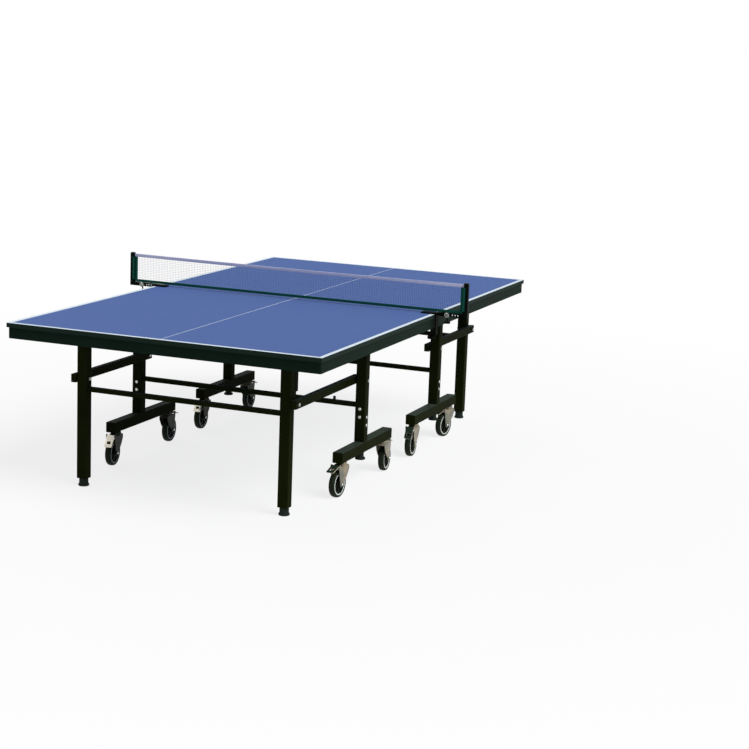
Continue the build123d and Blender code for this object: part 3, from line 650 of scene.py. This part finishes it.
def dress_wheels():
    """A detailed wheel in place of each plain one."""
    blank = wheel_shape()
    for name, _, place in casters():
        shape = blank.copy()
        bmesh.ops.transform(shape, matrix=place, verts=shape.verts)
        made = piece(f"{name}_tyre_and_hub", shape, f"{name}_roller", "caster_wheel",
                     FINISH["caster_wheel"], RING, HUB)
        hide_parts(f"{name}_wheel")
    blank.free()


dress_wheels()


# ---------------------------------------------------------------- trim of the caster forks

CAP_FACE = 0.0272  # from the wheel's middle to the foot of a cap
CAP_R = 0.0062
CAP_HIGH = 0.004
CAP_OUTLINE = ((0.0, CAP_FACE + CAP_HIGH), (CAP_R * 0.45, CAP_FACE + CAP_HIGH * 0.88),
               (CAP_R * 0.8, CAP_FACE + CAP_HIGH * 0.55), (CAP_R, CAP_FACE))
# a dark block filling the gap between the crown and the beam: painted shade
SHADE_BLOCK = ((0.026, -0.013, 0.1422), (0.050, 0.013, 0.1545))  # from the pivot, +X towards the wheel


def axle_caps(place):
    """Domed caps on both ends of an axle."""
    shape = bmesh.new()
    for way in (1, -1):
        turned(shape, [(radius, way * along) for radius, along in CAP_OUTLINE], 24, 0, closed=False)
    bmesh.ops.remove_doubles(shape, verts=shape.verts, dist=1e-6)
    bmesh.ops.holes_fill(shape, edges=[e for e in shape.edges if e.is_boundary], sides=0)
    bmesh.ops.recalc_face_normals(shape, faces=shape.faces)
    bmesh.ops.transform(shape, matrix=place, verts=shape.verts)
    smooth(shape, 40)
    return shape


def shade_block(pivot, centre):
    """Dark block on the crown, on the side where the wheel trails, that fills the gap under the beam with painted
    shade.
    """
    shape = bmesh.new()
    block(shape, *SHADE_BLOCK)
    round_edges(shape, shape.edges[:], 0.003, 3)
    smooth(shape, 50)
    heading = math.atan2(centre.y - pivot.y, centre.x - pivot.x)
    place = Matrix.Translation((pivot.x, pivot.y, 0)) @ Matrix.Rotation(heading, 4, "Z")
    bmesh.ops.transform(shape, matrix=place, verts=shape.verts)
    return shape


def dress_forks():
    """Caps and dark shade block of every caster."""
    pivots = {joint["name"]: Vector(joint["pos_m"])
              for joint in frame["joints"] if "_swivel" in joint["name"]}
    for name, centre, place in casters():
        piece(f"{name}_axle_caps", axle_caps(place), f"{name}_caster", "caster_fork", FINISH["bolt"])
        # the dark block under the beam is painted shade
        shade_filler = shade_block(pivots[f"{name}_swivel"], centre)
        piece(f"{name}_shade_block", shade_filler, f"{name}_caster", "caster_fork", HUB)


dress_forks()


# ---------------------------------------------------------------- edges of the solids

for name, node in frame["nodes"].items():
    width = EDGE_WIDTH.get(slot_of[name])
    if width and not node.hide_render and "top_board" not in name:
        soften(node, width)


# ---------------------------------------------------------------- floor, light and camera

FLOOR_SIZE = 60
FLOOR_WHITE = 0.8  # share of the floor that shows plain white close by
FADE_FROM = 1.8  # where the shadow starts to fade out, and over what distance
FADE_OVER = 3.0
WORLD_LIGHT = 0.26
LAMPS = (("key", (-0.16, -0.72, 0.78), 2.9, 40), ("fill", (0.45, 0.70, 0.75), 0.4, 60))


def seen_or_mirrored(tree):
    """1 for rays from the camera and for reflections, 0 for those that only carry light."""
    path = tree.nodes.new("ShaderNodeLightPath")
    either = tree.nodes.new("ShaderNodeMath")
    either.operation = "MAXIMUM"
    tree.links.new(path.outputs["Is Camera Ray"], either.inputs[0])
    tree.links.new(path.outputs["Is Glossy Ray"], either.inputs[1])
    return either.outputs[0]


def join_shaders(tree, amount, first, second, end):
    """Mix two shaders and link the result to the tree's end node."""
    mix = tree.nodes.new("ShaderNodeMixShader")
    tree.links.new(amount, mix.inputs[0])
    tree.links.new(first.outputs[0], mix.inputs[1])
    tree.links.new(second.outputs[0], mix.inputs[2])
    tree.links.new(mix.outputs[0], tree.nodes[end].inputs["Surface"])


def white_ground(name):
    """White for the camera and for reflections, with some real shading left for the shadow."""
    paint = Paint(name)
    seen = Value(paint, seen_or_mirrored(paint.tree))
    across = paint.axis("X")
    along = paint.axis("Y")
    far = (((across * across + along * along).root() - FADE_FROM) / FADE_OVER).clipped()
    white_share = FLOOR_WHITE + far * (1 - FLOOR_WHITE)
    grain = paint.noise(3.0, 3.0)
    tone = paint.blend(grain, (0.80, 0.80, 0.80, 1), (0.84, 0.84, 0.84, 1))
    paint.set(Base_Color=tone, Roughness=0.9, Specular_IOR_Level=0.0)
    white = paint.tree.nodes.new("ShaderNodeEmission")
    white.inputs["Color"].default_value = (1, 1, 1, 1)
    join_shaders(paint.tree, (seen * white_share).socket, paint.shader, white, "Material Output")
    return paint.material


def make_floor():
    """Wide white floor that only takes the shadow."""
    shape = bmesh.new()
    bmesh.ops.create_grid(shape, x_segments=1, y_segments=1, size=FLOOR_SIZE)
    mesh = bpy.data.meshes.new("studio_floor")
    shape.to_mesh(mesh)
    shape.free()
    mesh.materials.append(white_ground("floor_white"))
    floor = bpy.data.objects.new("studio_floor", mesh)
    bpy.context.scene.collection.objects.link(floor)


def make_light():
    """Dim world that looks plain white, and two soft suns."""
    world = bpy.data.worlds.new("studio")
    bpy.context.scene.world = world
    world.use_nodes = True
    tree = world.node_tree
    back = tree.nodes["Background"]
    front = tree.nodes.new("ShaderNodeBackground")
    for background, strength in ((back, WORLD_LIGHT), (front, 1.0)):
        background.inputs["Strength"].default_value = strength
        background.inputs["Color"].default_value = (1, 1, 1, 1)
    join_shaders(tree, seen_or_mirrored(tree), back, front, "World Output")

    for name, direction, strength, spread in LAMPS:
        lamp = bpy.data.lights.new(name, "SUN")
        lamp.energy = strength
        lamp.angle = math.radians(spread)
        holder = bpy.data.objects.new(name, lamp)
        holder.rotation_euler = Vector(direction).to_track_quat("Z", "Y").to_euler()
        bpy.context.scene.collection.objects.link(holder)


CAMERA_AT = (-8.08572, -3.68025, 2.14034)
CAMERA_AZIMUTH = -68.215
CAMERA_ELEVATION = 11.1316
CAMERA_ROLL = 2.1518
LENS_SHARE = 2.42283  # focal length as a share of the sensor's width
SENSOR = 36


def make_camera():
    """The main view, from beyond the near right corner and a little above eye height."""
    lens = bpy.data.cameras.new("camera")
    lens.sensor_width = SENSOR
    lens.lens = SENSOR * LENS_SHARE
    lens.clip_end = 200
    camera = bpy.data.objects.new("camera", lens)
    turn = (Matrix.Rotation(math.radians(CAMERA_AZIMUTH), 4, "Z")
            @ Matrix.Rotation(math.radians(90 - CAMERA_ELEVATION), 4, "X")
            @ Matrix.Rotation(math.radians(CAMERA_ROLL), 4, "Z"))
    camera.matrix_world = Matrix.Translation(CAMERA_AT) @ turn
    bpy.context.scene.collection.objects.link(camera)
    bpy.context.scene.camera = camera


make_floor()
make_light()
make_camera()
bpy.context.scene.view_settings.view_transform = "Standard"
